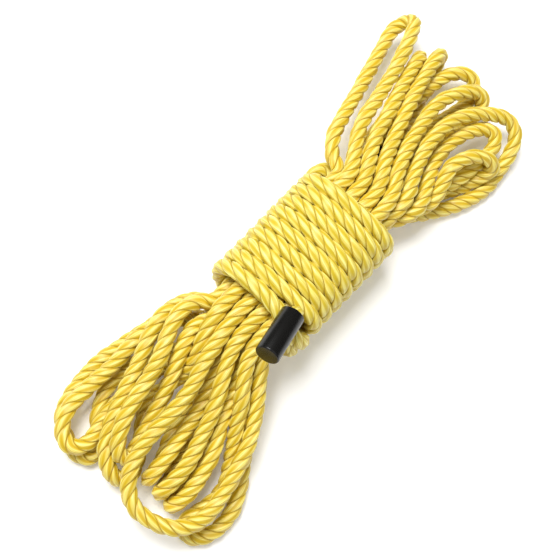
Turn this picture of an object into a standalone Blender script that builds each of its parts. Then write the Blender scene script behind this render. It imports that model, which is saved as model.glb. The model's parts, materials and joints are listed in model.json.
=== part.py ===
"""A hank of soft three-strand twisted cord.

One continuous cord is folded back and forth into long bights, 8 at the upper end and
9 at the lower end.  Eighteen straight runs pass through the waist, where nine and a
half turns of the same cord bind them.  The last turn tucks under itself and its end
comes up between two turns.  Both cord ends are glued into plastic end caps.

Frame: X runs along the hank towards its upper end and +Z is up.  Lengths here are in
millimetres, with Y = 0 in the middle of the waist and the waist centred on X = 0.
world() turns a point into metres and moves it to the part's own frame, whose origin is
under the middle of the bounding box, where the hank lies on Z = 0.
"""

import math

import bpy
import numpy as np
from mathutils import Matrix, Vector

MM = 0.001
COLLECTION = "cord_hank"
ORIGIN = (1.14, -3.37, 0.45)    # under the middle of the bounding box

# The cord.  Neighbouring cords press into each other, so the solid tube is a little
# thinner than the cord measured over its strands.
CORD_DIAMETER = 7.0
CORD_RADIUS = CORD_DIAMETER / 2
TUBE_RADIUS = 3.0
CORD_SPACING = 6.5          # least distance between two centre lines
TUBE_BEVEL_STEPS = 2        # gives eight sides
PATH_STEP = 2.5             # distance between samples of a centre line
RING_MAX_GAP = 14.0         # longest straight stretch between two rings of a tube
RING_BEND = 1.3             # length times turn (mm x radians) that calls for a ring

# The waist: four rows of runs inside an oval of turns.
WAIST_CENTRE_Z = 20.0
ROW_COUNTS = (4, 5, 5, 4)   # runs in each row, from the bottom up
ROW_HEIGHT = 6.25
SIDE_PITCH_4 = 6.7          # sideways pitch in the rows of four
SIDE_PITCH_5 = 7.0          # sideways pitch in the rows of five
UPPER_MOUTH_X = 35.5        # where the runs leave the waist
LOWER_MOUTH_X = -35.5
MOUTH_GAP = 3.8             # bending room between a run and its bight

# The binding turns: an oval helix that moves towards -X.
OVAL_HALF_WIDTH = 21.6
OVAL_HALF_HEIGHT = 16.6
OVAL_POWER = 3.0
TURN_PITCH = 6.4
FIRST_TURN_X = 31.0
FIRST_TURN_START = 0.08
LAST_TURN_END = 9.46
TURN_COUNT = 9
TURN_LENGTH = 4 * (OVAL_HALF_WIDTH + OVAL_HALF_HEIGHT)   # a little over one turn's length
TURN_GAP = 0.4
JOIN_GAP = 1.0              # where the curved lead and tucked length meet the turns
STRAIGHT_JOIN = 0.03        # in turns: how far the lead and the tucked length follow the helix
LAST_TURN_SHIFT = 5.1       # the last turn is pushed aside by the cord end tucked under it
LAST_TURN_LIFT = 2.2
LAST_TURN_SHIFT_AT = 8.60   # in turns
LAST_TURN_SHIFT_SPREAD = 0.078

# The end caps.
CAP_DIAMETER = 10.0
CAP_BORE = 8.2
CAP_LENGTH = 21.0
CAP_WALL_END = 1.8
CAP_EDGE = 0.5
CAP_SIDES = 32
CORD_IN_CAP = 13.0
PLUG_LENGTH = 4.0
PLUG_DIAMETER = 7.4
GAP = 0.4
NECK_SCALE = 0.64           # the cord is squeezed where it passes between two turns

# Easing the centre lines apart.
EASE_ROUNDS = 320
EASE_SETTLE_ROUNDS = 40
EASE_RELIST = 16            # rounds between two lists of near pairs
EASE_LOOK = 4.0             # how far beyond touching a pair is listed
EASE_MAX_STEP = 0.5
EASE_SMOOTH = 0.35
EASE_HOLD = 0.99
EASE_MARGIN = 0.12
HELD_SAMPLES = 2
BEND_RADIUS = 4.2           # tightest bend of a centre line

# Where the hank bends.  The lobes bend up and down at the mouths of the waist, the
# outer bights swing sideways or lift about a pivot on their outer side, and the capped
# end turns in the groove that it comes out of.
UPPER_LOBE_PIVOT = (UPPER_MOUTH_X, 0.0, WAIST_CENTRE_Z)
UPPER_SIDE_PIVOT = (35.5, 18.0, 26.0)
LOWER_LOBE_PIVOT = (LOWER_MOUTH_X, 0.0, WAIST_CENTRE_Z)
LOWER_SIDE_PIVOT = (-35.5, 10.0, 20.0)
LOWER_TOP_PIVOT = (-35.5, -5.0, 29.0)
TAIL_NECK_PIVOT = (-22.8, -14.15, 37.0)
TAIL_END_PIVOT = (-20.2, -13.8, 40.5)
UPPER_SIDE_BIGHTS = (1,)
LOWER_SIDE_BIGHTS = (1, 2, 3, 4)
LOWER_TOP_BIGHTS = (6, 9)

YELLOW = (0.86, 0.62, 0.06, 1.0)
YELLOW_WAIST = (0.90, 0.68, 0.12, 1.0)
BLACK = (0.010, 0.010, 0.012, 1.0)
GLUE = (0.75, 0.66, 0.38, 1.0)


# Each bight: the run it starts from, the run it comes back to, and the points its
# centre line passes on the way out and back.  A run is (row, place), row 0 at the
# bottom and place 0 at the +Y side.
UPPER_BIGHTS = (
    ((2, 0), (3, 0), (
        (40.6, 18.8, 22.3), (44.6, 24, 21.6), (51.5, 28.2, 20.2), (66, 32, 18), (87, 37.5, 14),
        (102, 41.5, 12), (111, 43.5, 12), (117, 41.5, 14.5), (117.5, 38, 18.5),
        (112, 35.5, 20.5), (103, 32.2, 21), (90, 28.3, 21.5), (76, 25.3, 22), (60, 21.8, 24.5))),
    ((3, 1), (1, 1), (
        (58, 13, 27), (73, 17, 23), (91, 22, 19), (104, 25, 17), (112, 26, 12),
        (105, 24, 7), (92, 21, 5), (76, 17, 5), (60, 14, 8))),
    ((3, 2), (2, 2), (
        (55, 4, 27), (70, 9, 23), (86, 14, 20), (102, 18, 18), (114, 20, 16), (120, 20, 11),
        (114, 18, 6), (102, 14, 4), (86, 11, 4), (70, 8, 7), (55, 4, 13))),
    ((2, 1), (0, 1), (
        (54, 12, 18), (68, 14, 14), (88, 14, 12), (104, 13, 12), (115, 10, 12), (121, 3, 10),
        (117, -3, 6), (108, -3, 4), (92, 1, 4), (72, 3, 4), (55, 1, 7))),
    ((3, 3), (2, 3), (
        (53, -4, 27), (68, 1, 23), (83, 4, 21), (96, 5, 19), (108, 1, 17), (116, -5, 13),
        (114, -10, 8), (103, -8, 5), (86, -5, 4), (68, -4, 6), (54, -5, 13))),
    ((2, 4), (0, 3), (
        (49, -14, 25), (61, -9, 23), (74, -5, 22), (88, -4, 21), (101, -8, 19),
        (111, -16, 16), (116, -24, 13), (112, -31, 10), (101, -34, 6), (87, -34, 4),
        (73, -31, 4), (59, -24, 5))),
    ((1, 4), (1, 2), (
        (52, -20, 20), (66, -15, 17.5), (79, -11, 15), (91, -11.5, 14.5), (101, -15, 14),
        (107.5, -21.5, 12.5), (103, -26.5, 11), (90, -27, 10), (76, -24, 10), (63, -20, 9),
        (50, -10, 11))),
    ((1, 3), (0, 2), (
        (50, -17, 14), (59, -22, 14), (67, -21, 17), (75, -18, 20), (84, -20, 21), (92, -26, 18),
        (94, -31, 13), (89, -31, 7), (80, -28, 4), (66, -20, 4), (52, -11, 5))),
)
LOWER_BIGHTS = (
    ((0, 0), (0, 2), (
        (-57, 25, 7), (-71, 29, 6), (-86, 32, 5), (-101, 31, 5), (-111, 28, 5), (-117, 20, 5),
        (-119, 12, 4), (-117, 5, 4), (-110, 8, 4), (-103, 16, 4), (-95, 21, 4), (-85, 22.5, 4),
        (-71, 19, 4), (-54, 8, 4))),
    ((1, 1), (0, 1), (
        (-58, 25, 15), (-70, 27, 14), (-84, 26, 12), (-98, 27, 12), (-110, 26, 13),
        (-117, 21, 13), (-119, 15, 12), (-112, 11, 11), (-100, 14, 10),
        (-84, 14, 9), (-68, 11, 8), (-53, 6, 8))),
    ((1, 0), (3, 0), (
        (-40.8, 18.8, 17.5), (-45, 22.6, 18.1), (-51.5, 24.4, 19.4), (-60, 24.6, 21),
        (-70, 21.5, 20), (-81, 17, 19),
        (-93, 13, 17), (-104, 8, 15), (-111.5, 1.5, 13), (-115, -5.5, 9), (-112, -10, 5),
        (-105, -8, 4), (-96, -1.5, 4), (-88, 4.5, 4.5), (-79, 6, 7.5), (-70, 4, 13),
        (-61, 3.5, 21), (-52, 7, 26))),
    ((2, 0), (2, 1), (
        (-42.5, 18.4, 24.4), (-50, 20.6, 26.5), (-58, 19, 27), (-68, 14.5, 26), (-80, 11, 24),
        (-91, 9, 22), (-101, 6, 19), (-108, 1, 16), (-108, -4, 12), (-99, -3, 12),
        (-85, 1, 14), (-73, 4, 18), (-62, 9, 22), (-51, 12, 24))),
    ((2, 2), (1, 2), (
        (-53, -4, 21), (-64, -8, 17), (-76, -12, 14), (-88, -14, 14),
        (-100, -15.5, 14), (-109, -15.5, 10), (-103, -16, 5), (-92, -12, 4), (-80, -7.5, 4),
        (-64, -4.5, 6.5), (-50, -2.5, 13.5))),
    ((3, 1), (2, 4), (
        (-56, 1, 29), (-68, -3, 27), (-81, -5, 24), (-96, -5, 22), (-108, -8, 20),
        (-115.5, -14, 18), (-118, -22, 17), (-116, -31, 16), (-111, -38.5, 15), (-103.5, -42, 14),
        (-94, -42, 13.5), (-84, -39.5, 13.5), (-72, -36, 15), (-61, -30, 17), (-50, -22, 20))),
    ((3, 2), (1, 3), (
        (-49, -5, 28), (-59, -10, 25), (-68, -15, 22), (-79, -19, 19),
        (-90, -22.5, 17), (-102, -23.5, 15), (-110, -22, 10.5), (-104, -22, 5), (-92, -20, 4),
        (-80, -17, 4), (-66, -12, 6), (-51, -8, 11))),
    ((2, 3), (0, 3), (
        (-48, -12, 21), (-58, -17, 18), (-69, -21, 16), (-80, -27, 14),
        (-91, -30, 13), (-103, -31, 12), (-111, -29, 8.5), (-104.5, -29, 4), (-92, -28, 4),
        (-80, -25, 4), (-66, -19, 4), (-52, -14, 6))),
    ((3, 3), (1, 4), (
        (-49, -13, 27), (-57, -19, 23), (-65, -25, 18), (-73, -31, 12),
        (-80, -37, 7), (-89, -41, 5), (-100, -40, 4), (-108.5, -38, 4), (-113.5, -40.5, 4),
        (-110.5, -46, 4), (-103, -49.5, 4), (-95, -49.5, 4), (-87, -46.5, 4),
        (-79, -41, 4), (-66, -33, 5), (-53, -24, 9))),
)

# The lead from the last free run to the first turn.
LEAD_RUN = (1, 0)
LEAD_POINTS = ((37.2, 14.3, 16.7), (39.8, 16.9, 14.8), (39.0, 20.8, 13.2), (35.6, 22.8, 12.9),
               (32.0, 22.3, 12.4))

# The other end of the cord, under the upper bights, with its cap pointing along +X.
INNER_END_RUN = (0, 0)
INNER_END_POINTS = ((39.4, 10.0, 10.4), (43, 9.6, 8.4), (48, 8.8, 6.4), (53, 8.5, 5.7), (58, 8.5, 5.6))
INNER_CAP_MOUTH = (51.0, 8.5, 5.6)
INNER_CAP_AXIS = (1.0, 0.0, 0.0)

# The tucked end: under the last turn, up through the neck, and back into the outer cap.
TUCK_POINTS = ((-31.3, -20.9, 20.0), (-30.6, -18.9, 25.0), (-28.2, -16.5, 28.3),
               (-25.0, -15.4, 30.6), (-23.3, -14.8, 33.0))
NECK_POINTS = ((-23.2, -14.4, 34.2), (-22.9, -14.2, 37.0), (-22.4, -13.9, 40.0))
OUTER_CAP_MOUTH = (-25.2, -13.0, 44.9)
OUTER_CAP_AXIS = (-0.935, -0.172, 0.310)


def clear_scene():
    for item in list(bpy.data.objects):
        bpy.data.objects.remove(item, do_unlink=True)


def new_collection(name):
    collection = bpy.data.collections.new(name)
    bpy.context.scene.collection.children.link(collection)
    return collection


def new_material(name, colour, roughness, sheen=0.0, coat=0.0):
    material = bpy.data.materials.new(name)
    material.use_nodes = True
    surface = material.node_tree.nodes["Principled BSDF"]
    surface.inputs["Base Color"].default_value = colour
    surface.inputs["Roughness"].default_value = roughness
    surface.inputs["Metallic"].default_value = 0.0
    surface.inputs["Sheen Weight"].default_value = sheen
    surface.inputs["Coat Weight"].default_value = coat
    material.diffuse_color = colour
    return material


def world(point):
    return [(value - start) * MM for value, start in zip(point, ORIGIN)]


def add_pivot(name, place, collection, parent=None):
    """An empty on a joint's axis, for the pieces that turn about it."""
    pivot = bpy.data.objects.new(name, None)
    pivot.empty_display_size = CORD_DIAMETER * MM
    pivot.location = world(place)
    collection.objects.link(pivot)
    if parent is not None:
        attach(pivot, parent)
    return pivot


def attach(piece, pivot):
    """Parents a piece and leaves it where it is."""
    piece.parent = pivot
    piece.matrix_parent_inverse = Matrix.Translation(-Vector(pivot.location))


def unit(vector):
    vector = np.asarray(vector, float)
    return vector / np.linalg.norm(vector)


def run_centre(run):
    """Y and Z of the centre line of a run, given as (row, place)."""
    row, place = run
    count = ROW_COUNTS[row]
    pitch = SIDE_PITCH_4 if count == 4 else SIDE_PITCH_5
    y = ((count - 1) / 2 - place) * pitch
    z = WAIST_CENTRE_Z + (row - (len(ROW_COUNTS) - 1) / 2) * ROW_HEIGHT
    return y, z


def resample(points, step):
    """Points at an even distance of about step along a polyline, ends kept."""
    points = np.asarray(points, float)
    lengths = np.linalg.norm(np.diff(points, axis=0), axis=1)
    along = np.concatenate(([0.0], np.cumsum(lengths)))
    count = max(2, int(round(along[-1] / step)) + 1)
    places = np.linspace(0.0, along[-1], count)
    return np.column_stack([np.interp(places, along, points[:, k]) for k in range(3)])


def smooth_path(points, step):
    """A centripetal Catmull-Rom curve through the points, sampled evenly."""
    points = np.asarray(points, float)
    first = 2 * points[0] - points[1]
    last = 2 * points[-1] - points[-2]
    padded = np.vstack((first, points, last))
    samples = []
    for i in range(len(points) - 1):
        p0, p1, p2, p3 = padded[i:i + 4]
        t0 = 0.0
        t1 = t0 + math.sqrt(np.linalg.norm(p1 - p0))
        t2 = t1 + math.sqrt(np.linalg.norm(p2 - p1))
        t3 = t2 + math.sqrt(np.linalg.norm(p3 - p2))
        for t in np.linspace(t1, t2, 12, endpoint=False):
            a1 = (t1 - t) / (t1 - t0) * p0 + (t - t0) / (t1 - t0) * p1
            a2 = (t2 - t) / (t2 - t1) * p1 + (t - t1) / (t2 - t1) * p2
            a3 = (t3 - t) / (t3 - t2) * p2 + (t - t2) / (t3 - t2) * p3
            b1 = (t2 - t) / (t2 - t0) * a1 + (t - t0) / (t2 - t0) * a2
            b2 = (t3 - t) / (t3 - t1) * a2 + (t - t1) / (t3 - t1) * a3
            samples.append((t2 - t) / (t2 - t1) * b1 + (t - t1) / (t2 - t1) * b2)
    samples.append(points[-1])
    return resample(samples, step)


def bight_path(bight, mouth_x):
    """The drawn centre line of a bight, from one run's mouth to the other's."""
    start_run, end_run, points = bight
    way_out = math.copysign(1.0, mouth_x)
    start_x = mouth_x + way_out * MOUTH_GAP / 2
    straight_x = start_x + way_out * 1.5
    start = run_centre(start_run)
    end = run_centre(end_run)
    drawn = [(start_x, *start), (straight_x, *start)]
    drawn += [(x, y, max(z, CORD_RADIUS)) for x, y, z in points]
    drawn += [(straight_x, *end), (start_x, *end)]
    return smooth_path(drawn, PATH_STEP)


def turn_point(turns):
    """The binding helix: 0 turns is the +Y side, going down, under and up to the top."""
    angle = -2 * math.pi * turns
    across, up = math.cos(angle), math.sin(angle)
    power = OVAL_POWER
    reach = (abs(across / OVAL_HALF_WIDTH) ** power + abs(up / OVAL_HALF_HEIGHT) ** power) ** (-1 / power)
    nearness = math.exp(-((turns - LAST_TURN_SHIFT_AT) / LAST_TURN_SHIFT_SPREAD) ** 2)
    reach += LAST_TURN_LIFT * nearness
    x = FIRST_TURN_X - TURN_PITCH * turns - LAST_TURN_SHIFT * nearness
    return np.array((x, across * reach, WAIST_CENTRE_Z + up * reach))


def turn_path(start, end):
    count = int((end - start) * 120) + 2
    return resample([turn_point(t) for t in np.linspace(start, end, count)], PATH_STEP)


def ease_apart(paths, obstacles):
    """Moves the centre lines of the bights until no two cords share the same space.

    Samples that are too close move apart in equal shares and obstacles stay where they
    are.  The moves are smoothed along each cord, so that it keeps its drawn curve, and
    no cord bends more tightly than it can.
    """
    home = np.vstack(paths)
    owner = np.concatenate([np.full(len(p), i) for i, p in enumerate(paths)])
    place = np.concatenate([np.arange(len(p)) for p in paths])
    from_end = np.concatenate([np.arange(len(p))[::-1] for p in paths])
    free = (place >= HELD_SAMPLES) & (from_end >= HELD_SAMPLES)
    middle = np.where(free)[0]
    solid = np.vstack([points for points, _ in obstacles])
    reach = np.concatenate([np.full(len(points), extra) for points, extra in obstacles])
    everything = np.vstack((home, solid))
    skip = int(math.ceil(CORD_SPACING * 1.6 / PATH_STEP))
    tightest = PATH_STEP ** 2 / (2 * BEND_RADIUS)
    now = home.copy()
    for round_number in range(EASE_ROUNDS):
        if round_number % EASE_RELIST == 0:
            everything[:len(now)] = now
            first, second, limit, share = near_pairs(everything, owner, place, reach, skip)
        everything[:len(now)] = now
        gap = everything[first] - everything[second]
        distance = np.linalg.norm(gap, axis=1) + 1e-9
        short = np.clip(limit - distance, 0.0, None)
        moves = gap * (share * short / distance)[:, None]
        push = np.zeros_like(now)
        np.add.at(push, first, moves)
        hits = np.bincount(first, weights=short > 0, minlength=len(now))
        push /= np.maximum(hits, 1.0)[:, None] ** 0.6
        size = np.linalg.norm(push, axis=1, keepdims=True)
        push *= np.minimum(1.0, EASE_MAX_STEP / np.maximum(size, 1e-9))
        moved = now + push - home
        moved[~free] = 0.0
        if round_number < EASE_ROUNDS - EASE_SETTLE_ROUNDS:
            average = (moved[middle - 1] + moved[middle + 1]) / 2
            moved[middle] += EASE_SMOOTH * (average - moved[middle])
            moved *= EASE_HOLD
        now = home + moved
        bow = now[middle] - (now[middle - 1] + now[middle + 1]) / 2
        height = np.linalg.norm(bow, axis=1, keepdims=True) + 1e-9
        now[middle] -= 0.5 * bow * np.clip(1.0 - tightest / height, 0.0, None)
        now[:, 2] = np.maximum(now[:, 2], CORD_RADIUS)
    ends = np.cumsum([len(p) for p in paths])
    return np.split(now, ends[:-1])


def near_pairs(everything, owner, place, reach, skip):
    """Sample pairs that could touch: first (a bight's), second, their least distance
    apart and the share of any shortfall that the first one moves by."""
    count = len(owner)
    limit = np.full(len(everything), CORD_SPACING + EASE_MARGIN)
    limit[count:] = reach + EASE_MARGIN
    share = np.where(np.arange(len(everything)) < count, 0.5, 1.0)
    firsts = []
    seconds = []
    for i in range(count):
        distance = np.linalg.norm(everything - everything[i], axis=1)
        near = np.where(distance < limit + EASE_LOOK)[0]
        beside = near < count
        own = np.zeros(len(near), bool)
        own[beside] = (owner[near[beside]] == owner[i]) & (abs(place[near[beside]] - place[i]) < skip)
        near = near[~own]
        firsts.append(np.full(len(near), i))
        seconds.append(near)
    first = np.concatenate(firsts)
    second = np.concatenate(seconds)
    return first, second, limit[second], share[second]


def ring_places(points):
    """Indices of the samples that get a ring: few where straight, more where it bends.

    The first and last two always get one, so that each end face is square to its cord.
    """
    steps = np.diff(points, axis=0)
    lengths = np.linalg.norm(steps, axis=1)
    chosen = [0, 1]
    length = lengths[1]
    turn = 0.0
    for i in range(2, len(points) - 2):
        cosine = steps[i - 1] @ steps[i] / (lengths[i - 1] * lengths[i])
        turn += math.acos(max(-1.0, min(1.0, cosine)))
        if length * turn >= RING_BEND or length >= RING_MAX_GAP:
            chosen.append(i)
            length = 0.0
            turn = 0.0
        length += lengths[i]
    chosen += [len(points) - 2, len(points) - 1]
    return chosen


def add_tube(name, points, material, collection, radii=None, places=None):
    """A filled tube along the points.  radii scales the tube at each ring."""
    if places is None:
        places = ring_places(points)
    curve = bpy.data.curves.new(name, "CURVE")
    curve.dimensions = "3D"
    curve.bevel_depth = TUBE_RADIUS * MM
    curve.bevel_resolution = TUBE_BEVEL_STEPS
    curve.use_fill_caps = True
    spline = curve.splines.new("POLY")
    spline.points.add(len(places) - 1)
    for point, i in zip(spline.points, places):
        point.co = (*world(points[i]), 1.0)
        point.radius = 1.0 if radii is None else radii[i]
    curve.materials.append(material)
    tube = bpy.data.objects.new(name, curve)
    collection.objects.link(tube)
    return tube


def point_along(start, axis, distance):
    return np.asarray(start, float) + unit(axis) * distance


def add_turned(name, profile, mouth, axis, material, collection):
    """A turned solid.  The profile is (radius, distance along the axis), outer side first."""
    mesh = bpy.data.meshes.new(name)
    vertices = [(radius * MM, 0.0, height * MM) for radius, height in profile]
    edges = [(i, i + 1) for i in range(len(vertices) - 1)]
    mesh.from_pydata(vertices, edges, [])
    turned = bpy.data.objects.new(name, mesh)
    collection.objects.link(turned)
    screw = turned.modifiers.new("turn", "SCREW")
    screw.axis = "Z"
    screw.steps = CAP_SIDES
    screw.render_steps = CAP_SIDES
    screw.use_merge_vertices = True
    screw.merge_threshold = 0.00001
    mesh.materials.append(material)
    turned.rotation_mode = "QUATERNION"
    from_z = np.cross((0.0, 0.0, 1.0), unit(axis))
    turn_angle = math.acos(unit(axis)[2])
    half = math.sin(turn_angle / 2)
    spin = unit(from_z) * half
    turned.rotation_quaternion = (math.cos(turn_angle / 2), *spin)
    turned.location = world(mouth)
    return turned


def add_cap(name, mouth, axis, material, collection):
    """A cup with its open end at mouth and its closed end CAP_LENGTH along the axis."""
    outer = CAP_DIAMETER / 2
    bore = CAP_BORE / 2
    floor = CAP_LENGTH - CAP_WALL_END
    profile = [
        (0.0, CAP_LENGTH),
        (outer - CAP_EDGE, CAP_LENGTH),
        (outer, CAP_LENGTH - CAP_EDGE),
        (outer, CAP_EDGE),
        (outer - CAP_EDGE / 2, 0.0),
        (bore, 0.0),
        (bore, floor),
        (0.0, floor),
    ]
    return add_turned(name, profile, mouth, axis, material, collection)


def add_plug(name, mouth, axis, material, collection):
    """The set glue between the end of the cord and the bottom of its cap."""
    top = CAP_LENGTH - CAP_WALL_END - GAP
    bottom = top - PLUG_LENGTH
    radius = PLUG_DIAMETER / 2
    profile = [(0.0, top), (radius, top), (radius, bottom), (0.0, bottom)]
    return add_turned(name, profile, mouth, axis, material, collection)


def cap_obstacle(mouth, axis):
    """Samples along a cap's axis, for keeping the bights off it."""
    return np.array([point_along(mouth, axis, d) for d in np.arange(0.0, CAP_LENGTH + 0.1, 2.0)])


def main():
    clear_scene()
    collection = new_collection(COLLECTION)
    bight_cord = new_material("bight_cord", YELLOW, 0.42, sheen=0.3)
    turn_cord = new_material("turn_cord", YELLOW_WAIST, 0.40, sheen=0.3)
    cap_plastic = new_material("cap_plastic", BLACK, 0.12, coat=0.5)
    glue = new_material("glue", GLUE, 0.5)

    # The runs through the waist.
    runs = [(row, place) for row, count in enumerate(ROW_COUNTS) for place in range(count)]
    run_ends = (LOWER_MOUTH_X + MOUTH_GAP / 2, UPPER_MOUTH_X - MOUTH_GAP / 2)
    run_obstacles = []
    for number, run in enumerate(runs, start=1):
        y, z = run_centre(run)
        line = np.array([(x, y, z) for x in run_ends])
        add_tube(f"waist_run_{number:02d}", line, bight_cord, collection, places=[0, 1])
        run_obstacles.append((resample(line, PATH_STEP), CORD_SPACING))

    # The lead into the first turn, and the turns themselves.
    y, z = run_centre(LEAD_RUN)
    lead_start = (UPPER_MOUTH_X - MOUTH_GAP / 2 + JOIN_GAP, y, z)
    half_gap = TURN_GAP / 2 / TURN_LENGTH
    join_gap = JOIN_GAP / TURN_LENGTH
    join_at = FIRST_TURN_START + STRAIGHT_JOIN
    on_turn = [turn_point(FIRST_TURN_START), turn_point(join_at - join_gap)]
    lead = smooth_path([lead_start, *LEAD_POINTS, *on_turn], PATH_STEP)
    add_tube("wrap_lead", lead, turn_cord, collection)
    edges = [join_at] + list(range(1, TURN_COUNT)) + [LAST_TURN_END]
    turns = []
    for number in range(TURN_COUNT):
        path = turn_path(edges[number] + half_gap, edges[number + 1] - half_gap)
        turns.append(path)
        add_tube(f"wrap_turn_{number + 1}", path, turn_cord, collection)

    # The tucked end, its neck between two turns, and the outer cap.
    cap_entry = point_along(OUTER_CAP_MOUTH, OUTER_CAP_AXIS, 0.5)
    cord_stop = point_along(OUTER_CAP_MOUTH, OUTER_CAP_AXIS, CORD_IN_CAP)
    on_turn = [turn_point(LAST_TURN_END + join_gap), turn_point(LAST_TURN_END + STRAIGHT_JOIN)]
    tuck = smooth_path([*on_turn, *TUCK_POINTS], PATH_STEP)
    shrink = np.interp(np.linspace(0, 1, len(tuck)), (0.0, 0.04, 0.3, 1.0), (1, 1, NECK_SCALE, NECK_SCALE))
    add_tube("tucked_length", tuck, turn_cord, collection, radii=shrink)
    neck = smooth_path(NECK_POINTS, PATH_STEP / 2)
    shrink = np.full(len(neck), NECK_SCALE)
    neck_piece = add_tube("tail_neck", neck, turn_cord, collection, radii=shrink)
    top = np.array(NECK_POINTS[-1]) + (0.1, 0.1, JOIN_GAP)
    tail = smooth_path([top, top + (-0.3, 0.3, 2.6), cap_entry, cord_stop], PATH_STEP)
    shrink = np.interp(np.linspace(0, 1, len(tail)), (0.0, 0.35, 1.0), (NECK_SCALE, 1.0, 1.0))
    tail_pieces = [
        add_tube("tail_end", tail, turn_cord, collection, radii=shrink),
        add_cap("outer_end_cap", OUTER_CAP_MOUTH, OUTER_CAP_AXIS, cap_plastic, collection),
        add_plug("outer_cap_glue", OUTER_CAP_MOUTH, OUTER_CAP_AXIS, glue, collection),
    ]
    neck_pivot = add_pivot("tail_neck_pivot", TAIL_NECK_PIVOT, collection)
    tail_pivot = add_pivot("tail_end_pivot", TAIL_END_PIVOT, collection, neck_pivot)
    attach(neck_piece, neck_pivot)
    for piece in tail_pieces:
        attach(piece, tail_pivot)

    # The other end of the cord and its cap.
    y, z = run_centre(INNER_END_RUN)
    inner_start = (UPPER_MOUTH_X + MOUTH_GAP / 2, y, z)
    inner_stop = point_along(INNER_CAP_MOUTH, INNER_CAP_AXIS, CORD_IN_CAP)
    inner_end = smooth_path([inner_start, *INNER_END_POINTS, inner_stop], PATH_STEP)
    upper_pivot = add_pivot("upper_lobe_pivot", UPPER_LOBE_PIVOT, collection)
    attach(add_tube("inner_end", inner_end, bight_cord, collection), upper_pivot)
    inner_place = (INNER_CAP_MOUTH, INNER_CAP_AXIS)
    attach(add_cap("inner_end_cap", *inner_place, cap_plastic, collection), upper_pivot)
    attach(add_plug("inner_cap_glue", *inner_place, glue, collection), upper_pivot)

    # The bights.
    upper_side = add_pivot("upper_side_pivot", UPPER_SIDE_PIVOT, collection, upper_pivot)
    lower_pivot = add_pivot("lower_lobe_pivot", LOWER_LOBE_PIVOT, collection)
    lower_side = add_pivot("lower_side_pivot", LOWER_SIDE_PIVOT, collection, lower_pivot)
    lower_top = add_pivot("lower_top_pivot", LOWER_TOP_PIVOT, collection, lower_pivot)
    names = []
    pivots = []
    for number in range(1, len(UPPER_BIGHTS) + 1):
        names.append(f"upper_bight_{number}")
        pivots.append(upper_side if number in UPPER_SIDE_BIGHTS else upper_pivot)
    for number in range(1, len(LOWER_BIGHTS) + 1):
        names.append(f"lower_bight_{number}")
        pivot = lower_side if number in LOWER_SIDE_BIGHTS else lower_pivot
        pivots.append(lower_top if number in LOWER_TOP_BIGHTS else pivot)
    drawn = [bight_path(bight, UPPER_MOUTH_X) for bight in UPPER_BIGHTS]
    drawn += [bight_path(bight, LOWER_MOUTH_X) for bight in LOWER_BIGHTS]
    cap_reach = CAP_DIAMETER / 2 + TUBE_RADIUS + GAP
    obstacles = run_obstacles
    obstacles += [(path, CORD_SPACING) for path in [lead, tuck, tail, inner_end, *turns]]
    obstacles += [(cap_obstacle(OUTER_CAP_MOUTH, OUTER_CAP_AXIS), cap_reach)]
    obstacles += [(cap_obstacle(INNER_CAP_MOUTH, INNER_CAP_AXIS), cap_reach)]
    for name, pivot, path in zip(names, pivots, ease_apart(drawn, obstacles)):
        attach(add_tube(name, path, bight_cord, collection), pivot)


main()
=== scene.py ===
"""The looks of a hank of soft three-strand twisted cord with glossy end caps.

Every length of cord follows the centre line of its CAD tube, and three strands wind round
that line.  A bight and its two legs are one cord, which starts and ends hidden in the
middle of the waist.  The binding turns are one cord from the lead to the cap.
Lengths are in millimetres until a mesh or an object is placed.
"""

import json
import math

import bpy
import numpy as np
from mathutils import Matrix, Vector

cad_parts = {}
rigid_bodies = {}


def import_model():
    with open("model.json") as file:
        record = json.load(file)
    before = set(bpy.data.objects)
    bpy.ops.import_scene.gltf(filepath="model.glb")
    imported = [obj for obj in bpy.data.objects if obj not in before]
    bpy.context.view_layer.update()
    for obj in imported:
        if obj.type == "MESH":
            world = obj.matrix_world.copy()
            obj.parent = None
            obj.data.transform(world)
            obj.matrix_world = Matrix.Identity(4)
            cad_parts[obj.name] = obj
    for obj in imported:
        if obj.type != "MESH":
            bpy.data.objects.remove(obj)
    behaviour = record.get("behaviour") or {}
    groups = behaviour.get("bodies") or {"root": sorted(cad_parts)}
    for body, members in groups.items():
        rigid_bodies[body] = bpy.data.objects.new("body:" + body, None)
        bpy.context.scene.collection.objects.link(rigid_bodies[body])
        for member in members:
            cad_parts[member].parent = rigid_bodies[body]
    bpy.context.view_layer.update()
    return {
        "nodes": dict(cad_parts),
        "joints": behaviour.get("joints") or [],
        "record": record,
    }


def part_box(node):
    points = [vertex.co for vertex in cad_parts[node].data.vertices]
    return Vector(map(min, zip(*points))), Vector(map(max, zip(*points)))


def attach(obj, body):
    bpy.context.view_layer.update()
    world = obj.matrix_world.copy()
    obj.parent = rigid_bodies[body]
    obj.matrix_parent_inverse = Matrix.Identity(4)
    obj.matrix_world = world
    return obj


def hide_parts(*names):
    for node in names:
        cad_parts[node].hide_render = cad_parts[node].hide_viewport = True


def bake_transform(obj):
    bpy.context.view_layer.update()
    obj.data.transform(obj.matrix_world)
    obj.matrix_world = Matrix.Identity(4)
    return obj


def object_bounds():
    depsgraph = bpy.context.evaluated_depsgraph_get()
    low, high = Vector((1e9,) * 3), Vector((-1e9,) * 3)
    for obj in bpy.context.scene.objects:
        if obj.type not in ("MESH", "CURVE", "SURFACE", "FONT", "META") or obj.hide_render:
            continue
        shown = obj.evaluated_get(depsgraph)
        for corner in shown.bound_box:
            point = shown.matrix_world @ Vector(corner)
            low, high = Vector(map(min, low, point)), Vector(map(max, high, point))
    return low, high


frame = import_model()

MM = 0.001
UP = np.array((0.0, 0.0, 1.0))
WHITE = (1.0, 1.0, 1.0, 1.0)

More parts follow.
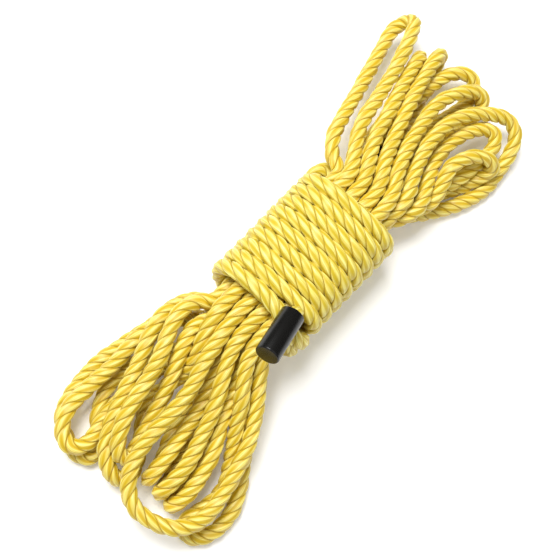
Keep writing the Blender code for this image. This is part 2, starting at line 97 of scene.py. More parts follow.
# Reading a centre line from a CAD tube.
TUBE_RADIUS = 3.0               # radius of an unsqueezed CAD tube
TUBE_SIDES = 8
SAME_POINT = 0.002              # vertices in one cell of this size are one point
SAME_PLANE = 0.99999            # least cosine between the normals of one flat face
ROUNDNESS = 0.05                # how unequal the reach of an end disc's corners may be
LEAST_SPACING = 0.8             # centre-line points closer than this are dropped
CURVE_SPACING = 0.4             # spacing along a curve before its points are evened out
PATH_SOFTNESS = 2.2             # how far a bend is smoothed along the cord
SOFTENING_REACH = 2             # the smoothing stops this many softness lengths away
STEEP = 0.9                     # a cord that rises more steeply takes its side from X
TINY = 1e-12                    # keeps the length of a sliver's normal above zero

# The cord and its strands.
CORD_RADIUS = 3.45
STRANDS = 3
FURROW_RADIUS = 2.38            # where the faces of two strands meet
STRAND_FLOOR = 0.6              # a strand's least distance from the cord's middle
STRAND_HALF_ANGLE = math.radians(60.4)
STRAND_GIRTH = math.pi * CORD_RADIUS
YARNS = 3                       # ridges across the face of a strand
YARN_SIDES = 6
YARN_DEPTH = 0.38
FACE_SIDES = YARNS * YARN_SIDES
INNER_SIDES = 4                 # the hidden back of a strand
STRAND_SIDES = FACE_SIDES + INNER_SIDES
STEP = 0.65                     # distance between two rings of a strand
CORD_CREASE = math.radians(60)  # sharper edges than this are shaded as edges
BIGHT_LAY = 15.6                # one turn of the right-handed lay
TURN_LAY = 17.8                 # the binding turns are pulled longer
LAY_DRIFT = 0.22                # slow wander of the twist, in radians
LAY_DRIFT_LENGTH = 47.0
SWELL = 0.025                   # slow change of the cord's thickness
SWELL_LENGTH = 31.0
DRIFT_SHIFT = 3                 # these two keep the wander and the swelling of one cord
SWELL_SHIFT = 5                 # out of step with those of the next
SEED = 7                        # for the place where each bight's twist starts
INNER_END_PHASE = 1.0           # the same place for the hidden end, in radians
BINDING_PHASE = 0.4

# Places by the waist's mouth; a bight on a body of its own is split from its legs just past them.
WAIST_SHARES = (0.0, 0.3, 0.6, 0.85)    # points from the waist's middle to its mouth
MOUTH_START = 1.5               # the mouth's span starts this far inside a run's end
MOUTH_LENGTH = 7.0
SPLIT_AFTER_MOUTH = 1.0
SIDE_BEND_LENGTH = 22.0         # the span past an outer bight's split

# The texture maps.
STRAND_GAP = 2 * STEP           # empty length between two strands
ROW_MARGIN = 0.04               # empty share of a row at each of its sides
END_REACH = 0.45                # a strand's cut end, as a share of its place's width
END_HEIGHT = 0.4                # and of a row's height
END_GRAIN = 0.3                 # its size in the map that the filaments follow

# The end caps.
CAP_SIDES = 96
CAP_WALL = 0.9
CAP_END_WALL = 1.8
CAP_FILLET = 0.55
CAP_LIP = 0.35
FILLET_STEPS = 6
CAP_CREASE = math.radians(35)

# Materials.  A cord's colours are painted light and shade: a painted highlight on a yarn's crest, painted
# shade on its sides and deeper painted shade in the furrows.
BIGHT_LIGHT_AND_SHADE = ((1.0, 0.92, 0.27, 1.0), (0.64, 0.42, 0.005, 1.0), (0.44, 0.25, 0.001, 1.0))
# the binding turns get a lighter copy of these colours, painted light on the same cord
TURN_LIGHT_AND_SHADE = ((1.0, 0.93, 0.31, 1.0), (0.64, 0.47, 0.015, 1.0), (0.48, 0.31, 0.004, 1.0))
CREST_RANGE = (0.1, 0.7)        # height on a yarn, from all painted side shade to all painted crest highlight
FURROW_RANGE = (0.0, 0.75)      # height on a strand, from all painted furrow shade to none
FILAMENT_SCALE = (0.10, 26.0, 1.0)      # along and across a strand
FILAMENT_DETAIL = 3.0
NOISE_RANGE = (0.3, 0.7)        # the middle of a noise's range, stretched to all of it
FILAMENT_BUMP = 0.5
FILAMENT_HEIGHT = 0.10
CORD_ROUGHNESS = (0.46, 0.34)   # between filaments and on them
CORD_SPECULAR = 0.55
CORD_SHEEN = 0.06
SHEEN_ROUGHNESS = 0.4
SHEEN_TINT = (1.0, 0.9, 0.45, 1.0)
CAP_COLOUR = (0.003, 0.0027, 0.002, 1.0)
CAP_SPECULAR = 0.42
CAP_ROUGHNESS = (0.22, 0.3)
RUB_SCALE = 900.0               # of the faint rubbing on a cap
GLUE_COLOUR = (0.75, 0.66, 0.38, 1.0)
GLUE_ROUGHNESS = 0.5

# The camera looks nearly straight down, tipped towards the lower end of the hank, and is
# turned so that the hank lies across the picture's diagonal.
CAMERA_TIP_X = 14.0
CAMERA_TIP_Y = 3.0
CAMERA_TURN = 46.0
CAMERA_DISTANCE = 400.0
CAMERA_LENS = 62.4
CAMERA_TARGET = (-13.56, 4.47, 19.5)

# The studio, in metres.  Directions are the camera's right, up and back.
KEY = {"toward": (-0.15, 0.55, 1.0), "distance": 1.0, "size": 0.5, "power": 12.0}
FILL = {"toward": (0.7, -0.3, 1.0), "distance": 1.2, "size": 0.9, "power": 3.0}
SURROUND_TOWARD = (-0.1, 0.2, 1.0)
SURROUND_STRENGTH = (0.12, 0.34)        # at least, and in its brightest direction
BACKDROP = 0.9                  # strength of the surround as the camera sees it
FLOOR_SIZE = 1.6
FLOOR_COLOUR = (0.98, 0.98, 0.98, 1.0)
FLOOR_ROUGHNESS = 0.9
FLOOR_GLOW = 0.1                # keeps the floor white under the hank

random = np.random.default_rng(SEED)


# ---------------------------------------------------------------- centre lines

def merged_triangles(node):
    """Vertices of a CAD node with repeats joined, in mm, and its triangles."""
    mesh = frame["nodes"][node].data
    mesh.calc_loop_triangles()
    points = np.array([v.co for v in mesh.vertices]) / MM
    keys = np.round(points / SAME_POINT).astype(int)
    _, first, merged = np.unique(keys, axis=0, return_index=True, return_inverse=True)
    merged = merged.ravel()
    triangles = merged[np.array([t.vertices for t in mesh.loop_triangles])]
    return points[first], triangles


def flat_groups(points, triangles):
    """Groups of triangles that share edges and lie in one plane."""
    a, b, c = (points[triangles[:, k]] for k in range(3))
    normals = np.cross(b - a, c - a)
    normals /= np.linalg.norm(normals, axis=1, keepdims=True) + TINY
    group = list(range(len(triangles)))

    def root(i):
        while group[i] != i:
            i = group[i]
        return i

    owners = {}
    for i, triangle in enumerate(triangles):
        for k in range(3):
            edge = frozenset((int(triangle[k]), int(triangle[(k + 1) % 3])))
            owners.setdefault(edge, []).append(i)
    for pair in owners.values():
        if len(pair) == 2 and normals[pair[0]] @ normals[pair[1]] > SAME_PLANE:
            group[root(pair[0])] = root(pair[1])
    found = {}
    for i in range(len(triangles)):
        found.setdefault(root(i), set()).update(int(v) for v in triangles[i])
    return found.values()


def is_end_disc(points, members):
    """Whether a flat face is the round cut end of a tube."""
    if len(members) != TUBE_SIDES:
        return False
    corners = points[sorted(members)]
    reach = np.linalg.norm(corners - corners.mean(0), axis=1)
    return reach.max() - reach.min() < ROUNDNESS * reach.mean()


def tube_line(node):
    """Ring centres of a CAD tube, from one end disc to the other, and each ring's size as a
    share of an unsqueezed one."""
    points, triangles = merged_triangles(node)
    neighbours = {i: set() for i in range(len(points))}
    for a, b, c in triangles:
        neighbours[a].update((b, c))
        neighbours[b].update((a, c))
        neighbours[c].update((a, b))
    discs = [g for g in flat_groups(points, triangles) if is_end_disc(points, g)]
    ring = set(discs[0])
    seen = set(ring)
    centres = []
    radii = []
    while ring:
        corners = points[sorted(ring)]
        centres.append(corners.mean(0))
        radii.append(np.linalg.norm(corners - corners.mean(0), axis=1).mean())
        ring = set().union(*(neighbours[v] for v in ring)) - seen
        seen |= ring
    return np.array(centres), np.minimum(np.array(radii) / TUBE_RADIUS, 1.0)


def starting_near(line, place):
    """The same line, turned round if its other end is nearer to place."""
    centres, scales = line
    if np.linalg.norm(centres[-1] - place) < np.linalg.norm(centres[0] - place):
        return centres[::-1], scales[::-1]
    return centres, scales


def smooth_curve(points, values):
    """A centripetal Catmull-Rom curve, sampled every STEP, with values carried along."""
    keep = [0]
    for i in range(1, len(points)):
        if np.linalg.norm(points[i] - points[keep[-1]]) > LEAST_SPACING:
            keep.append(i)
    points = points[keep]
    values = values[keep]
    padded = np.vstack((2 * points[0] - points[1], points, 2 * points[-1] - points[-2]))
    dense = []
    dense_values = []
    for i in range(len(points) - 1):
        p0, p1, p2, p3 = padded[i:i + 4]
        t1 = math.sqrt(np.linalg.norm(p1 - p0))
        t2 = t1 + math.sqrt(np.linalg.norm(p2 - p1))
        t3 = t2 + math.sqrt(np.linalg.norm(p3 - p2))
        count = max(2, int(np.linalg.norm(p2 - p1) / CURVE_SPACING))
        for t in np.linspace(t1, t2, count, endpoint=False):
            a1 = (t1 - t) / t1 * p0 + t / t1 * p1
            a2 = (t2 - t) / (t2 - t1) * p1 + (t - t1) / (t2 - t1) * p2
            a3 = (t3 - t) / (t3 - t2) * p2 + (t - t2) / (t3 - t2) * p3
            b1 = (t2 - t) / t2 * a1 + t / t2 * a2
            b2 = (t3 - t) / (t3 - t1) * a2 + (t - t1) / (t3 - t1) * a3
            dense.append((t2 - t) / (t2 - t1) * b1 + (t - t1) / (t2 - t1) * b2)
            share = (t - t1) / (t2 - t1)
            dense_values.append(values[i] * (1 - share) + values[i + 1] * share)
    dense.append(points[-1])
    dense_values.append(values[-1])
    return evenly_spaced(np.array(dense), np.array(dense_values))


def evenly_spaced(points, values):
    """Points one STEP apart along a line, with values carried along."""
    lengths = np.linalg.norm(np.diff(points, axis=0), axis=1)
    along = np.concatenate(([0.0], np.cumsum(lengths)))
    places = np.linspace(0.0, along[-1], max(3, int(round(along[-1] / STEP)) + 1))
    even = np.column_stack([np.interp(places, along, points[:, k]) for k in range(3)])
    return even, np.interp(places, along, values)


def softened(points):
    """Smooths bends along the line and leaves both ends where they are."""
    reach = int(PATH_SOFTNESS / STEP * SOFTENING_REACH)
    weights = np.exp(-0.5 * (np.arange(-reach, reach + 1) * STEP / PATH_SOFTNESS) ** 2)
    weights /= weights.sum()
    before = 2 * points[0] - points[reach:0:-1]
    after = 2 * points[-1] - points[-2:-reach - 2:-1]
    padded = np.vstack((before, points, after))
    return np.column_stack([np.convolve(padded[:, k], weights, "valid") for k in range(3)])


# ---------------------------------------------------------------- laid cord

class Cord:
    """A centre line with the frames that three strands wind round."""

    def __init__(self, points, scales, phase, lay):
        points, scales = smooth_curve(points, scales)
        self.centre = softened(points)
        steps = np.linalg.norm(np.diff(self.centre, axis=0), axis=1)
        self.along = np.concatenate(([0.0], np.cumsum(steps)))
        self.tangent = np.gradient(self.centre, axis=0)
        self.tangent /= np.linalg.norm(self.tangent, axis=1, keepdims=True)
        self.side = self.carried_sides()
        drift = np.sin(2 * math.pi * self.along / LAY_DRIFT_LENGTH + phase * DRIFT_SHIFT)
        swell = np.sin(2 * math.pi * self.along / SWELL_LENGTH + phase * SWELL_SHIFT)
        self.twist = phase + 2 * math.pi * self.along / lay + LAY_DRIFT * drift
        self.scale = scales * (1 + SWELL * swell)

    def carried_sides(self):
        """A side vector carried along the line without twisting."""
        steep = abs(self.tangent[0, 2]) >= STEEP
        start = np.cross(self.tangent[0], (1.0, 0.0, 0.0) if steep else UP)
        sides = [start / np.linalg.norm(start)]
        for tangent in self.tangent[1:]:
            side = sides[-1] - (sides[-1] @ tangent) * tangent
            sides.append(side / np.linalg.norm(side))
        return np.array(sides)


def strand_section(rings):
    """A strand's cross-sections in polar form: angle about the cord's middle, distance from
    it at each ring, and the relief of each point, as height above the furrow and height on
    its yarn.  The yarns step one place across the strand at every ring, against the lay."""
    turn = np.concatenate((
        np.linspace(-0.5, 0.5, FACE_SIDES + 1),
        0.5 + np.arange(1, INNER_SIDES) / INNER_SIDES)) * math.pi
    on_face = np.arange(STRAND_SIDES) <= FACE_SIDES
    place = np.arange(STRAND_SIDES) + np.asarray(rings)[:, None]
    yarn = np.where(on_face, np.sin(math.pi * place / YARN_SIDES) ** 2, 0.0)
    height = np.cos(turn)
    depth = np.where(on_face, CORD_RADIUS - FURROW_RADIUS, FURROW_RADIUS - STRAND_FLOOR)
    distance = FURROW_RADIUS + depth * height - YARN_DEPTH * (1 - yarn) * on_face * height
    return STRAND_HALF_ANGLE * np.sin(turn), distance, height.clip(0, 1), yarn


def strand_points(cord, start, stop):
    """Points of the strands' surfaces: ring, strand, place round the strand, xyz."""
    section_angle, section_distance, _, _ = strand_section(np.arange(start, stop))
    centre = cord.centre[start:stop, None, None, :]
    tangent = cord.tangent[start:stop]
    side = cord.side[start:stop]
    across = np.cross(tangent, side)[:, None, None, :]
    side = side[:, None, None, :]
    strand_angle = cord.twist[start:stop, None] + 2 * math.pi * np.arange(STRANDS) / STRANDS
    angle = (strand_angle[..., None] + section_angle)[..., None]
    distance = (cord.scale[start:stop, None] * section_distance)[:, None, :, None]
    return centre + distance * (np.cos(angle) * side + np.sin(angle) * across)


def cord_mesh(name, spans):
    """One closed mesh for spans of cords, each (cord, start ring, stop ring)."""
    corners = []
    quads = []
    ends = []
    places = []
    reliefs = []
    count = 0
    length = 0.0
    sides = np.arange(STRAND_SIDES)
    following = (sides + 1) % STRAND_SIDES
    for cord, start, stop in spans:
        points = strand_points(cord, start, stop)
        corners.append(points.reshape(-1, 3))
        index = count + np.arange(points[..., 0].size).reshape(points.shape[:3])
        count += index.size
        _, _, height, yarn = strand_section(np.arange(start, stop))
        relief = np.stack(np.broadcast_arrays(height, yarn[:, None], 0.0, 1.0), -1)
        reliefs.append(np.repeat(relief, STRANDS, axis=1).ravel())
        along = cord.along[start:stop, None] - cord.along[start]
        rings = np.arange(start, stop - 1)[:, None]
        for strand in range(STRANDS):
            low = index[:-1, strand]
            high = index[1:, strand]
            loop = (low[:, following], high[:, following], high, low)
            quads.append(np.stack(loop, -1).reshape(-1, 4))
            ends.append(index[0, strand, ::-1])
            ends.append(index[-1, strand])
            place = np.broadcast_arrays(length + along[:-1], length + along[1:], 1.0 * sides, 1.0 * rings)
            places.append(np.stack(place, -1).reshape(-1, 4))
            length += cord.along[stop - 1] - cord.along[start] + STRAND_GAP
    mesh = bpy.data.meshes.new(name)
    fill_mesh(mesh, np.vstack(corners), np.vstack(quads), ends)
    lay_out_texture(mesh, np.vstack(places), length, ends)
    # heights that the cord material turns into painted highlight and painted shade
    colours = mesh.color_attributes.new(name="relief", type="FLOAT_COLOR", domain="POINT")
    colours.data.foreach_set("color", np.concatenate(reliefs))
    mesh.set_sharp_from_angle(angle=CORD_CREASE)
    return mesh


def fill_mesh(mesh, corners, quads, ends):
    """Fills a mesh with smooth quads and with flat many-sided ends."""
    loops = np.concatenate([quads.ravel()] + [np.asarray(end) for end in ends])
    sizes = np.concatenate((np.full(len(quads), 4), [len(end) for end in ends]))
    starts = np.concatenate(([0], np.cumsum(sizes)[:-1]))
    mesh.vertices.add(len(corners))
    mesh.vertices.foreach_set("co", (corners * MM).astype(np.float32).ravel())
    mesh.loops.add(len(loops))
    mesh.loops.foreach_set("vertex_index", loops.astype(np.int32))
    mesh.polygons.add(len(sizes))
    mesh.polygons.foreach_set("loop_start", starts.astype(np.int32))
    mesh.update(calc_edges=True)
    smooth = np.concatenate((np.ones(len(quads), bool), np.zeros(len(ends), bool)))
    mesh.polygons.foreach_set("use_smooth", smooth)
    mesh.validate()


def lay_out_texture(mesh, places, length, ends):
    """Two maps.  One holds rows of flattened strands that share no space, and the other
    holds places along and across each strand, sheared to follow its yarns.  Each quad's
    place is where it starts and stops along the rows, its side and its ring."""
    start, stop, side, ring = places.T
    rows = max(1, round(math.sqrt(length / STRAND_GIRTH)))
    row_length = length / rows
    row_width = row_length + 4 * STEP       # the last quad of a row may reach past its end
    band = 1 / (rows + 1)
    row = np.minimum(np.floor(start / row_length), rows - 1)
    left = (start - row * row_length + STEP) / row_width
    right = (stop - row * row_length + STEP) / row_width
    low = (row + ROW_MARGIN + (1 - 2 * ROW_MARGIN) * side / STRAND_SIDES) * band
    high = (row + ROW_MARGIN + (1 - 2 * ROW_MARGIN) * (side + 1) / STRAND_SIDES) * band
    along = ring * STEP
    across = (side + ring) / STRAND_SIDES
    width = 1 / STRAND_SIDES
    flat_corners = [np.stack((left, high, right, high, right, low, left, low), -1).reshape(-1, 2)]
    yarn_corners = [np.stack((along, across + width, along + STEP, across + 2 * width,
                              along + STEP, across + width, along, across), -1).reshape(-1, 2)]
    for number, end in enumerate(ends):
        turn = 2 * math.pi * np.arange(len(end)) / len(end)
        circle = np.column_stack((np.cos(turn), np.sin(turn)))
        spot = np.array(((number + 0.5) / len(ends), 1 - band / 2))
        flat_corners.append(spot + circle * min(END_REACH / len(ends), END_HEIGHT * band))
        yarn_corners.append(circle * END_GRAIN)
    for layer_name, layer_corners in (("OFBake", flat_corners), ("yarn", yarn_corners)):
        layer = mesh.uv_layers.new(name=layer_name)
        layer.data.foreach_set("uv", np.vstack(layer_corners).astype(np.float32).ravel())


def new_piece(name, mesh, material):
    """An object for a mesh, in the scene and with its material."""
    piece = bpy.data.objects.new(name, mesh)
    bpy.context.scene.collection.objects.link(piece)
    mesh.materials.append(material)
    return piece


def add_cord(name, spans, material, nodes):
    """A piece for spans of cord, which stands for the CAD nodes that they follow."""
    piece = new_piece(name, cord_mesh(name, spans), material)
    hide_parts(*nodes)
    return piece


# ---------------------------------------------------------------- materials

def node_material(name):
    material = bpy.data.materials.new(name)
    material.use_nodes = True
    return material, material.node_tree.nodes, material.node_tree.links


def mix_colours(nodes, links, share, low, high):
    """A mix of two colours, either of which may be a colour or a socket."""
    mix = nodes.new("ShaderNodeMix")
    mix.data_type = "RGBA"
    links.new(share, mix.inputs["Factor"])
    for socket, value in ((mix.inputs["A"], low), (mix.inputs["B"], high)):
        if isinstance(value, tuple):
            socket.default_value = value
        else:
            links.new(value, socket)
    return mix.outputs["Result"]


def map_range(nodes, links, value, source, target=(0.0, 1.0)):
    """Carries a value from one range to another, each given as (low, high)."""
    node = nodes.new("ShaderNodeMapRange")
    node.inputs["From Min"].default_value, node.inputs["From Max"].default_value = source
    node.inputs["To Min"].default_value, node.inputs["To Max"].default_value = target
    links.new(value, node.inputs["Value"])
    return node.outputs["Result"]


def filament_noise(nodes, links):
    """Fine lines that run along the yarns, from 0 between filaments to 1 on them."""
    yarn_map = nodes.new("ShaderNodeUVMap")
    yarn_map.uv_map = "yarn"
    stretch = nodes.new("ShaderNodeMapping")
    stretch.inputs["Scale"].default_value = FILAMENT_SCALE
    links.new(yarn_map.outputs["UV"], stretch.inputs["Vector"])
    noise = nodes.new("ShaderNodeTexNoise")
    noise.inputs["Scale"].default_value = 1.0
    noise.inputs["Detail"].default_value = FILAMENT_DETAIL
    links.new(stretch.outputs["Vector"], noise.inputs["Vector"])
    return map_range(nodes, links, noise.outputs["Fac"], NOISE_RANGE)


def cord_material(name, crest, body, furrow):
    """Satin yarn with painted light: a painted highlight on each yarn's crest, painted shade
    between yarns and deeper painted shade in the furrows, with fine filaments along the strand."""
    material, nodes, links = node_material(name)
    surface = nodes["Principled BSDF"]
    fine = filament_noise(nodes, links)
    relief = nodes.new("ShaderNodeAttribute")
    relief.attribute_name = "relief"
    parts = nodes.new("ShaderNodeSeparateColor")
    links.new(relief.outputs["Color"], parts.inputs["Color"])
    crest_highlight_share = map_range(nodes, links, parts.outputs["Green"], CREST_RANGE)
    above = map_range(nodes, links, parts.outputs["Red"], FURROW_RANGE)
    # painted highlight on each yarn's crest over painted shade between yarns
    yarn_light_and_shade = mix_colours(nodes, links, crest_highlight_share, body, crest)
    fine_colour = mix_colours(nodes, links, fine, body, yarn_light_and_shade)
    # deeper painted shade in the furrows between strands
    colour = mix_colours(nodes, links, above, furrow, fine_colour)
    links.new(colour, surface.inputs["Base Color"])
    bump = nodes.new("ShaderNodeBump")
    bump.inputs["Strength"].default_value = FILAMENT_BUMP
    bump.inputs["Distance"].default_value = FILAMENT_HEIGHT * MM
    links.new(fine, bump.inputs["Height"])
    links.new(bump.outputs["Normal"], surface.inputs["Normal"])
    roughness = map_range(nodes, links, fine, (0.0, 1.0), CORD_ROUGHNESS)
    links.new(roughness, surface.inputs["Roughness"])
    surface.inputs["Specular IOR Level"].default_value = CORD_SPECULAR
    surface.inputs["Sheen Weight"].default_value = CORD_SHEEN
    surface.inputs["Sheen Roughness"].default_value = SHEEN_ROUGHNESS
    surface.inputs["Sheen Tint"].default_value = SHEEN_TINT
    return material


def cap_material():
    """Glossy black plastic with faint rubbing."""
    material, nodes, links = node_material("gloss_black")
    surface = nodes["Principled BSDF"]
    surface.inputs["Base Color"].default_value = CAP_COLOUR
    surface.inputs["Specular IOR Level"].default_value = CAP_SPECULAR
    rubs = nodes.new("ShaderNodeTexNoise")
    rubs.inputs["Scale"].default_value = RUB_SCALE
    roughness = map_range(nodes, links, rubs.outputs["Fac"], NOISE_RANGE, CAP_ROUGHNESS)
    links.new(roughness, surface.inputs["Roughness"])
    return material


def plain_material(name, colour, roughness):
    material, nodes, _ = node_material(name)
    nodes["Principled BSDF"].inputs["Base Color"].default_value = colour
    nodes["Principled BSDF"].inputs["Roughness"].default_value = roughness
    return material


# ---------------------------------------------------------------- the hank

bight_yarn = cord_material("bight_yarn", *BIGHT_LIGHT_AND_SHADE)
turn_yarn = cord_material("turn_yarn", *TURN_LIGHT_AND_SHADE)
gloss_black = cap_material()
set_glue = plain_material("set_glue", GLUE_COLOUR, GLUE_ROUGHNESS)

BODIES = frame["record"]["behaviour"]["bodies"]
BODY_OF = {node: body for body, nodes in BODIES.items() for node in nodes}
PARENT_OF = {joint["child"]: joint["parent"] for joint in frame["joints"]}
RUNS = [node for node in frame["nodes"] if node.startswith("waist_run_")]


def run_box(run):
    low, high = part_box(run)
    return np.array(low) / MM, np.array(high) / MM


def nearest_run(place):
    """The waist run whose end a point of cord lies at."""
    def miss(run):
        low, high = run_box(run)
        return np.linalg.norm(((low + high) / 2 - place)[1:])
    return min(RUNS, key=miss)


RUN_LOW, RUN_HIGH = run_box(RUNS[0])
WAIST_MIDDLE = (RUN_LOW[0] + RUN_HIGH[0]) / 2


def into_waist(place):
    """Points that carry a cord straight from the middle of the waist to its mouth."""
    x, y, z = place
    return np.array([(WAIST_MIDDLE + (x - WAIST_MIDDLE) * share, y, z) for share in WAIST_SHARES])


def mouth_places(sign):
    """Where the mouth's span starts and ends on one side of the waist, as x values."""
    run_end = RUN_HIGH[0] if sign > 0 else RUN_LOW[0]
    start = run_end - sign * MOUTH_START
    return start, start + sign * MOUTH_LENGTH


def blend_along_x(piece, parent, child, start, end):
    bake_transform(piece)


def add_bight(node):
    """A bight with its two legs, from the middle of the waist and back.  One on a body of
    its own is split from its legs, just outside the mouth."""
    centres, scales = tube_line(node)
    lead_in = into_waist(centres[0])
    lead_out = into_waist(centres[-1])[::-1]
    points = np.vstack((lead_in, centres, lead_out))
    scales = np.concatenate((np.ones(len(lead_in)), scales, np.ones(len(lead_out))))
    cord = Cord(points, scales, random.uniform(0, 2 * math.pi), BIGHT_LAY)
    sign = math.copysign(1, centres[0][0])
    bend_start, bend_end = mouth_places(sign)
    runs = [nearest_run(centres[0]), nearest_run(centres[-1])]
    body = BODY_OF[node]
    lobe = PARENT_OF[body] if PARENT_OF[body] != "waist" else body
    whole = (cord, 0, len(cord.centre))
    name = node.replace("bight", "loop")
    if lobe == body:
        piece = add_cord(name, [whole], bight_yarn, [node] + runs)
        blend_along_x(piece, "waist", lobe, bend_start, bend_end)
        return
    split = bend_end + sign * SPLIT_AFTER_MOUTH
    outside = np.where((cord.centre[:, 0] - split) * sign > 0)[0]
    first, last = outside[0], outside[-1]
    legs = [(cord, 0, first + 1), (cord, last, len(cord.centre))]
    piece = add_cord(name + "_legs", legs, bight_yarn, runs)
    blend_along_x(piece, "waist", lobe, bend_start, bend_end)
    piece = add_cord(name, [(cord, first, last + 1)], bight_yarn, [node])
    blend_along_x(piece, lobe, body, split, split + sign * SIDE_BEND_LENGTH)


def add_inner_end():
    """The hidden cord end, from the middle of the waist into its cap."""
    centres, scales = starting_near(tube_line("inner_end"), (RUN_HIGH[0], 0, 0))
    lead_in = into_waist(centres[0])
    scales = np.concatenate((np.ones(len(lead_in)), scales))
    cord = Cord(np.vstack((lead_in, centres)), scales, INNER_END_PHASE, BIGHT_LAY)
    spans = [(cord, 0, len(cord.centre))]
    nodes = ["inner_end", nearest_run(centres[0])]
    piece = add_cord("inner_cord_end", spans, bight_yarn, nodes)
    blend_along_x(piece, "waist", "upper_lobe", *mouth_places(1))


def add_binding():
    """The binding turns and the capped end, one cord cut where the CAD nodes meet."""
    order = ["wrap_lead"] + [f"wrap_turn_{n}" for n in range(1, 10)]
    order += ["tucked_length", "tail_neck", "tail_end"]
    lead = starting_near(tube_line("wrap_lead"), (0, 0, 0))
    lines = [lead]
    for node in order[1:]:
        lines.append(starting_near(tube_line(node), lines[-1][0][-1]))
    lead_in = into_waist(lead[0][0])
    points = np.vstack([lead_in] + [centres for centres, _ in lines])
    scales = np.concatenate([np.ones(len(lead_in))] + [scale for _, scale in lines])
    cord = Cord(points, scales, BINDING_PHASE, TURN_LAY)
    cuts = [0]
    for before, after in zip(lines[:-1], lines[1:]):
        meeting = (before[0][-1] + after[0][0]) / 2
        distance = np.linalg.norm(cord.centre - meeting, axis=1)
        distance[:cuts[-1]] = np.inf
        cuts.append(int(distance.argmin()))
    cuts.append(len(cord.centre) - 1)
    for node, start, stop in zip(order, cuts[:-1], cuts[1:]):
        nodes = [node] + ([nearest_run(lead[0][0])] if node == "wrap_lead" else [])
        piece = add_cord(node.replace("wrap_", "binding_") + "_cord", [(cord, start, stop + 1)],
                         turn_yarn, nodes)
        if node == "tail_neck":
            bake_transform(piece)
        elif node == "tail_end":
            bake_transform(piece)
        else:
            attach(piece, "waist")


def turned_mesh(name, profile):
    """A closed turned solid about Z from (radius, height) points, outer side first."""
    turn = 2 * math.pi * np.arange(CAP_SIDES) / CAP_SIDES
    corners = []
    faces = []
    rings = []
    for radius, height in profile:
        if radius == 0:
            rings.append([len(corners)] * CAP_SIDES)
            corners.append((0, 0, height * MM))
        else:
            rings.append(list(range(len(corners), len(corners) + CAP_SIDES)))
            reach = radius * MM
            corners += [(reach * math.cos(t), reach * math.sin(t), height * MM) for t in turn]
    for above, below in zip(rings[:-1], rings[1:]):
        for i in range(CAP_SIDES):
            j = (i + 1) % CAP_SIDES
            loop = [above[i], below[i], below[j], above[j]]
            faces.append(list(dict.fromkeys(loop)))
    mesh = bpy.data.meshes.new(name)
    mesh.from_pydata(corners, [], faces)
    mesh.polygons.foreach_set("use_smooth", [True] * len(mesh.polygons))
    mesh.set_sharp_from_angle(angle=CAP_CREASE)
    return mesh


def rounded(corner, start_angle, radius):
    """Quarter-circle points about a corner, turning clockwise."""
    steps = np.linspace(0, math.pi / 2, FILLET_STEPS)
    return [(corner[0] + radius * math.cos(start_angle - step),
             corner[1] + radius * math.sin(start_angle - step)) for step in steps]


def add_cap(node, body, mouth, axis, length, radius):
    """A cup over the cord's end: rounded closed end, thin lip at the open one."""
    bore = radius - CAP_WALL
    profile = [(0, length)]
    profile += rounded((radius - CAP_FILLET, length - CAP_FILLET), math.pi / 2, CAP_FILLET)
    profile += rounded((radius - CAP_LIP, CAP_LIP), 0, CAP_LIP)
    profile += [(bore, 0), (bore, length - CAP_END_WALL), (0, length - CAP_END_WALL)]
    name = node + "_shell"
    cap = new_piece(name, turned_mesh(name, profile), gloss_black)
    cap.rotation_mode = "QUATERNION"
    cap.rotation_quaternion = Vector(axis).to_track_quat("Z", "Y")
    cap.location = mouth
    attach(cap, body)
    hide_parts(node)


def add_caps():
    """Both caps.  The inner one lies along X, so its box gives their length and radius."""
    low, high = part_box("inner_end_cap")
    length = (high.x - low.x) / MM
    radius = (high.z - low.z) / 2 / MM
    middle = (low + high) / 2
    add_cap("inner_end_cap", "upper_lobe", (low.x, middle.y, middle.z), (1, 0, 0), length, radius)
    mount = frame["record"]["mounts"][0]
    axis = Vector(mount["axis"]).normalized()
    mouth = Vector(mount["pos_m"]) - axis * length * MM
    add_cap("outer_end_cap", "tail_end", mouth, axis, length, radius)
    for node in ("inner_cap_glue", "outer_cap_glue"):
        frame["nodes"][node].data.materials.clear()
        frame["nodes"][node].data.materials.append(set_glue)


# ---------------------------------------------------------------- the studio

def add_camera():
    """The camera, and its right, up and back directions."""
    back = Vector((-math.sin(math.radians(CAMERA_TIP_X)), -math.sin(math.radians(CAMERA_TIP_Y)), 0))
    back.z = math.sqrt(1 - back.length_squared)
    along = Vector((1, 0, 0))
    along = (along - along.dot(back) * back).normalized()
    across = back.cross(along)
    turn = math.radians(CAMERA_TURN)
    right = math.cos(turn) * along - math.sin(turn) * across
    up = back.cross(right)
    data = bpy.data.cameras.new("camera")
    data.lens = CAMERA_LENS
    camera = bpy.data.objects.new("camera", data)
    place = Vector(CAMERA_TARGET) * MM + back * CAMERA_DISTANCE * MM
    camera.matrix_world = Matrix.Translation(place) @ Matrix((right, up, back)).transposed().to_4x4()
    bpy.context.scene.collection.objects.link(camera)
    bpy.context.scene.camera = camera
    return right, up, back


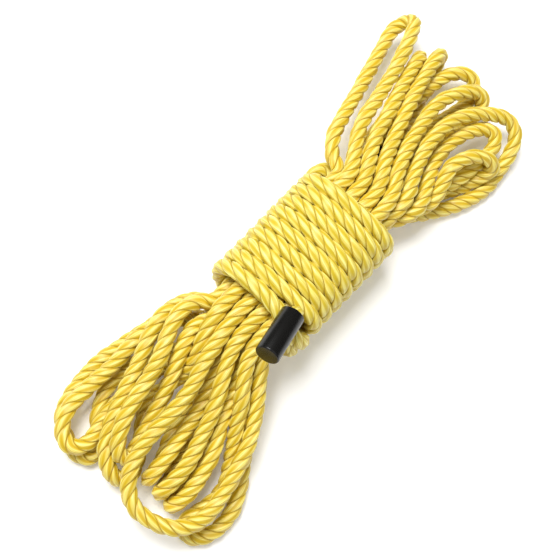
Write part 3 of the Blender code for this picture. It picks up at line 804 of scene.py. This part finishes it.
def add_floor(height):
    bpy.ops.mesh.primitive_plane_add(size=FLOOR_SIZE, location=(0, 0, height))
    floor = bpy.context.object
    floor.name = "floor"
    pale_floor = plain_material("pale_floor", FLOOR_COLOUR, FLOOR_ROUGHNESS)
    surface = pale_floor.node_tree.nodes["Principled BSDF"]
    surface.inputs["Emission Color"].default_value = WHITE
    surface.inputs["Emission Strength"].default_value = FLOOR_GLOW
    floor.data.materials.append(pale_floor)


def add_softbox(name, direction, box):
    data = bpy.data.lights.new(name, "AREA")
    data.shape = "SQUARE"
    data.size = box["size"]
    data.energy = box["power"]
    light = bpy.data.objects.new(name, data)
    light.location = direction.normalized() * box["distance"]
    light.rotation_mode = "QUATERNION"
    light.rotation_quaternion = direction.to_track_quat("Z", "Y")
    bpy.context.scene.collection.objects.link(light)


def add_surround(brightest):
    """A soft white surround that fades away from its brightest direction, and looks like
    a plain pale backdrop to the camera."""
    world = bpy.data.worlds.new("studio")
    world.use_nodes = True
    nodes = world.node_tree.nodes
    links = world.node_tree.links
    direction = nodes.new("ShaderNodeTexCoord")
    facing = nodes.new("ShaderNodeVectorMath")
    facing.operation = "DOT_PRODUCT"
    facing.inputs[1].default_value = brightest.normalized()
    links.new(direction.outputs["Generated"], facing.inputs[0])
    strength = map_range(nodes, links, facing.outputs["Value"], (0.0, 1.0), SURROUND_STRENGTH)
    seen = nodes.new("ShaderNodeLightPath")
    shown = nodes.new("ShaderNodeMix")
    links.new(seen.outputs["Is Camera Ray"], shown.inputs["Factor"])
    links.new(strength, shown.inputs["A"])
    shown.inputs["B"].default_value = BACKDROP
    nodes["Background"].inputs["Color"].default_value = WHITE
    links.new(shown.outputs["Result"], nodes["Background"].inputs["Strength"])
    bpy.context.scene.world = world


def add_studio(floor_height):
    right, up, back = add_camera()

    def direction(toward):
        return toward[0] * right + toward[1] * up + toward[2] * back

    add_floor(floor_height)
    add_softbox("key", direction(KEY["toward"]), KEY)
    add_softbox("fill", direction(FILL["toward"]), FILL)
    add_surround(direction(SURROUND_TOWARD))
    bpy.context.scene.view_settings.view_transform = "Standard"


for bight in sorted(node for node in frame["nodes"] if "_bight_" in node):
    add_bight(bight)
add_inner_end()
add_binding()
add_caps()
low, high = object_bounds()
add_studio(low.z)
